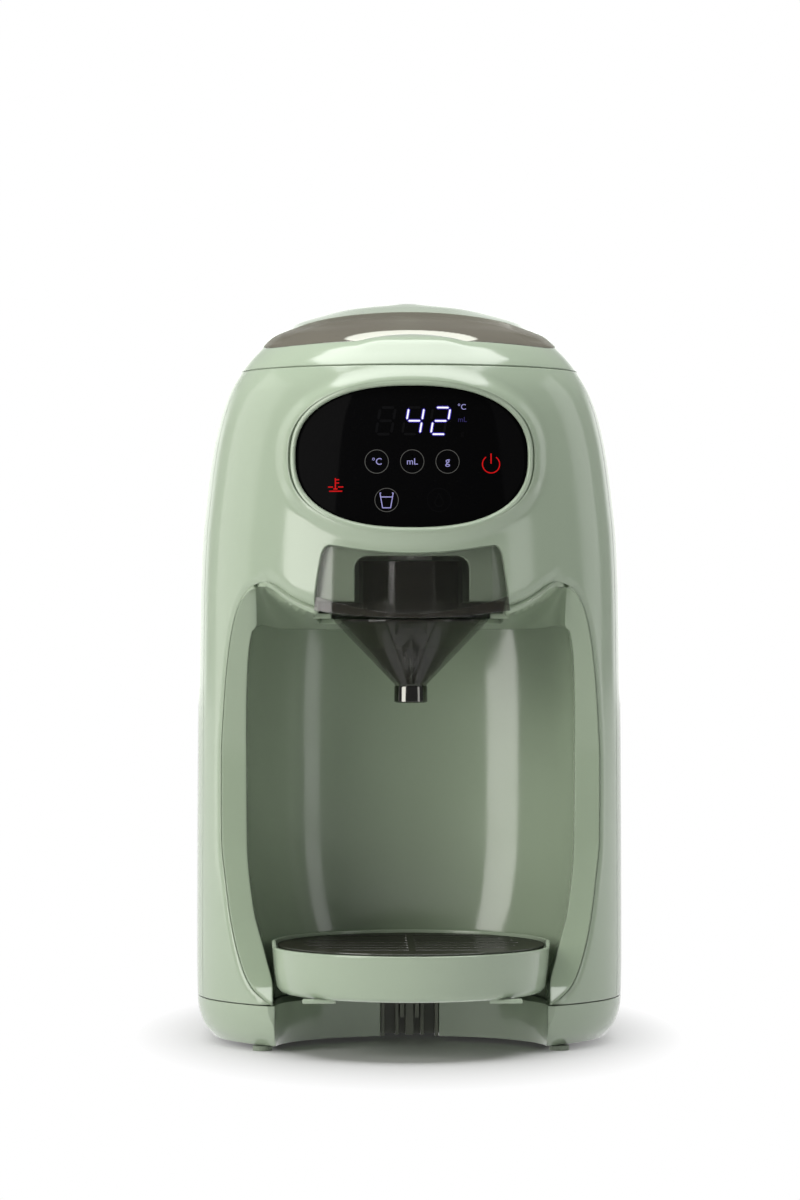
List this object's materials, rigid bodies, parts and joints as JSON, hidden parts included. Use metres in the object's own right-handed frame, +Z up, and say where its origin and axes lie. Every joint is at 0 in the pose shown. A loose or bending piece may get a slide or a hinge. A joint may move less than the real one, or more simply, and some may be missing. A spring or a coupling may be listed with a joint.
{
  "type": "baby formula maker",
  "caption": "Countertop baby formula maker with powder hopper, hinged lid, funnel drawer, bottle bay, lift-off drip tray and removable rear water tank.",
  "frame": {"origin": "middle of the footprint, on the counter", "axes": "+Z up, front of the machine towards -Y, +X to the right seen from the front"},
  "size_m": [0.2, 0.2998, 0.3515],
  "materials": {
    "sage_gloss": "glossy sage green",
    "sage_inner": "glossy sage green in shade",
    "smoky_clear": "smoky see-through",
    "clear_plastic": "clear",
    "panel_black": "black gloss",
    "dark_plastic": "satin dark grey",
    "white_plastic": "satin white",
    "rubber": "matte",
    "silicone": "soft matte",
    "steel": "brushed",
    "circuit_board": "satin green"
  },
  "bodies": {
    "machine_body": {"front_shell": "sage_gloss", "rear_shell": "sage_gloss", "bay_liner": "sage_inner", "base": "sage_gloss", "base_plate": "dark_plastic", "foot_front_left": "rubber", "foot_front_right": "rubber", "foot_rear_left": "rubber", "foot_rear_right": "rubber", "base_screw_1": "steel", "base_screw_2": "steel", "base_screw_3": "steel", "base_screw_4": "steel", "panel_rim": "sage_gloss", "panel_lens": "panel_black", "display_module": "dark_plastic", "control_board": "circuit_board", "funnel_guide": "sage_inner", "head_deck": "white_plastic", "powder_chute": "white_plastic", "dosing_motor": "steel", "powder_hopper": "clear_plastic", "hopper_surround": "sage_inner", "lid_hinge_pin": "steel", "tank_socket": "white_plastic", "tank_seal": "silicone", "pump": "dark_plastic", "heater": "steel", "thermostat": "steel", "tank_hose": "silicone", "heater_hose": "silicone", "nozzle_hose": "silicone", "water_nozzle": "white_plastic", "power_board": "circuit_board", "power_inlet": "dark_plastic", "tray_socket": "dark_plastic"},
    "lid": {"lid_frame": "sage_gloss", "lid_window": "smoky_clear", "lid_seal": "silicone"},
    "funnel_drawer": {"funnel_holder": "smoky_clear", "funnel": "smoky_clear", "mixing_core": "clear_plastic"},
    "drip_tray": {"tray": "sage_gloss", "tray_bracket": "dark_plastic"},
    "tray_grille": {"tray_cover": "smoky_clear"},
    "tank": {"water_tank": "clear_plastic", "valve_cage": "white_plastic", "valve_spring": "steel", "float_guide": "white_plastic"},
    "tank_cap": {"tank_lid": "sage_gloss"},
    "outlet_valve": {"tank_valve": "white_plastic"},
    "float": {"level_float": "white_plastic"},
    "dosing_rotor": {"dosing_wheel": "white_plastic", "dosing_shaft": "steel", "agitator": "white_plastic"},
    "motor_pinion": {"drive_pinion": "white_plastic"}
  },
  "joints": [
    {"name": "lid_hinge", "type": "hinge", "parent": "machine_body", "child": "lid", "pos_m": [0, 0.04651, 0.3445], "axis": [-1, 0, 0], "range_deg": [0, 65]},
    {"name": "drawer_slide", "type": "slide", "parent": "machine_body", "child": "funnel_drawer", "axis": [0, -1, 0], "range_m": [0, 0.085]},
    {"name": "tray_lift", "type": "slide", "parent": "machine_body", "child": "drip_tray", "axis": [0, 0, 1], "range_m": [0, 0.045]},
    {"name": "grille_lift", "type": "slide", "parent": "drip_tray", "child": "tray_grille", "axis": [0, 0, 1], "range_m": [0, 0.03]},
    {"name": "tank_lift", "type": "slide", "parent": "machine_body", "child": "tank", "axis": [0, 0, 1], "range_m": [0, 0.12]},
    {"name": "tank_lid_lift", "type": "slide", "parent": "tank", "child": "tank_cap", "axis": [0, 0, 1], "range_m": [0, 0.04]},
    {"name": "valve_lift", "type": "slide", "parent": "tank", "child": "outlet_valve", "axis": [0, 0, 1], "range_m": [0, 0.002], "stiffness_N_per_m": 150, "springref_m": -0.004, "deforming": ["valve_spring"]},
    {"name": "float_rise", "type": "slide", "parent": "tank", "child": "float", "axis": [0, 0, 1], "range_m": [0, 0.02]},
    {"name": "dosing_spin", "type": "hinge", "parent": "machine_body", "child": "dosing_rotor", "pos_m": [0, -0.03199, 0.243], "axis": [0, 0, 1], "continuous": true},
    {"name": "pinion_spin", "type": "hinge", "parent": "machine_body", "child": "motor_pinion", "pos_m": [0, 0.02801, 0.243], "axis": [0, 0, 1], "continuous": true}
  ],
  "couplings": [
    {"joint": "pinion_spin", "follows": "dosing_spin", "ratio": -5}
  ]
}
